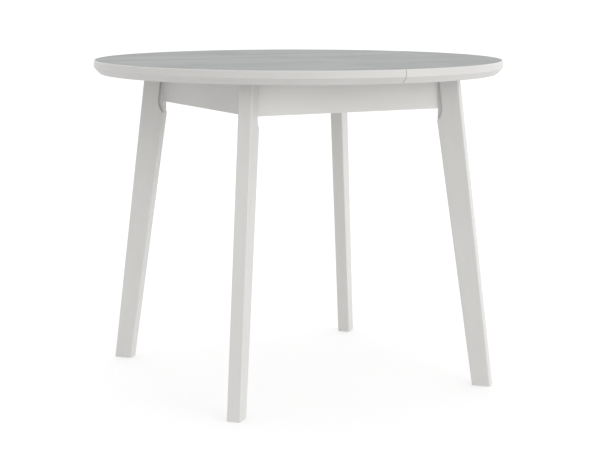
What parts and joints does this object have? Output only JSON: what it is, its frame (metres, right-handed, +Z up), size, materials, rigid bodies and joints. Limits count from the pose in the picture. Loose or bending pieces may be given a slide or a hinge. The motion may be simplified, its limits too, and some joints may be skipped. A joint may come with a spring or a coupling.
{
  "type": "round extending dining table",
  "caption": "Round dining table on splayed legs; the top splits at a centre seam and its halves slide apart for a loose leaf.",
  "frame": {"origin": "on the floor under the centre of the table", "axes": "+Z up; +X is the pull-out direction of the right half; the seam between the halves runs along Y"},
  "size_m": [0.9749, 0.975, 0.765],
  "materials": {
    "white_paint": "satin white paint over wood grain",
    "grey_laminate": "matt grey laminate with faint streaks",
    "beech": "planed beech, unfinished",
    "zinc_steel": "zinc plated",
    "nylon": "natural nylon"
  },
  "bodies": {
    "frame": {"leg_front_left": "white_paint", "corner_block_front_left": "beech", "floor_glide_front_left": "nylon", "leg_front_right": "white_paint", "corner_block_front_right": "beech", "floor_glide_front_right": "nylon", "leg_back_left": "white_paint", "corner_block_back_left": "beech", "floor_glide_back_left": "nylon", "leg_back_right": "white_paint", "corner_block_back_right": "beech", "floor_glide_back_right": "nylon", "apron_front": "white_paint", "glide_strip_front": "nylon", "apron_back": "white_paint", "glide_strip_back": "nylon", "apron_left": "white_paint", "glide_strip_left": "nylon", "apron_right": "white_paint", "glide_strip_right": "nylon", "slide_rail_front": "beech", "slide_rail_back": "beech", "cross_rail": "beech", "leg_bolts": "zinc_steel", "leg_bolt_washers": "zinc_steel", "leg_bolt_nuts": "zinc_steel", "corner_block_screws": "zinc_steel", "cross_rail_screws": "zinc_steel", "rail_brackets": "zinc_steel", "rail_bracket_screws": "zinc_steel"},
    "left_top": {"top_left_board": "white_paint", "top_left_laminate": "grey_laminate", "left_runner_front": "beech", "left_runner_back": "beech", "left_runner_screws": "zinc_steel", "seam_dowels": "beech", "latch_plates": "zinc_steel", "latch_plate_screws": "zinc_steel", "latch_pivots": "zinc_steel"},
    "right_top": {"top_right_board": "white_paint", "top_right_laminate": "grey_laminate", "right_runner_front": "beech", "right_runner_back": "beech", "right_runner_screws": "zinc_steel", "dowel_sockets": "nylon", "latch_keeper_plates": "zinc_steel", "latch_keeper_screws": "zinc_steel", "latch_studs": "zinc_steel"},
    "front_lever": {"latch_lever_front": "zinc_steel"},
    "back_lever": {"latch_lever_back": "zinc_steel"}
  },
  "joints": [
    {"name": "left_top_slide", "type": "slide", "parent": "frame", "child": "left_top", "axis": [-1, 0, 0], "range_m": [0, 0.15]},
    {"name": "right_top_slide", "type": "slide", "parent": "frame", "child": "right_top", "axis": [1, 0, 0], "range_m": [0, 0.15]},
    {"name": "front_latch_turn", "type": "hinge", "parent": "left_top", "child": "front_lever", "pos_m": [-0.03, -0.33, 0.73], "axis": [0, 0, 1], "range_deg": [0, 90]},
    {"name": "back_latch_turn", "type": "hinge", "parent": "left_top", "child": "back_lever", "pos_m": [-0.03, 0.33, 0.73], "axis": [0, 0, -1], "range_deg": [0, 90]}
  ]
}
